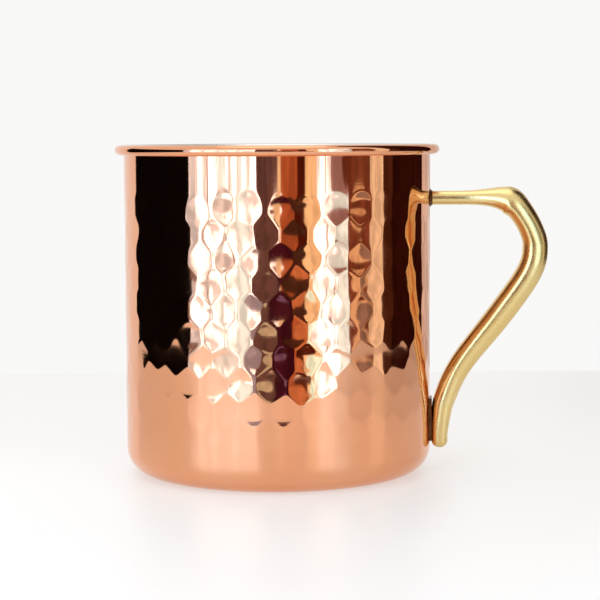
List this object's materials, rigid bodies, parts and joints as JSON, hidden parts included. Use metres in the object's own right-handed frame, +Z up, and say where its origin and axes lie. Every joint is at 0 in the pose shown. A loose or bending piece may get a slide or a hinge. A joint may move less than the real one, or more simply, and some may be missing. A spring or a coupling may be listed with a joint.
{
  "type": "hammered copper mug",
  "caption": "Straight-sided hammered copper drinking mug with a rolled rim, a thin inner lining and a cast brass handle brazed to the wall.",
  "frame": {"origin": "centre of the flat base, on the surface that the mug stands on", "axes": "+Z up along the mug's axis, +X out through the middle of the handle"},
  "size_m": [0.1186, 0.089, 0.09],
  "materials": {
    "copper": null,
    "lining": "satin nickel lining",
    "brass": "polished yellow brass",
    "braze": "dull brazing metal"
  },
  "bodies": {
    "root": {"mug_body": "copper", "nickel_lining": "lining", "handle": "brass", "upper_braze": "braze", "lower_braze": "braze"}
  },
  "joints": []
}
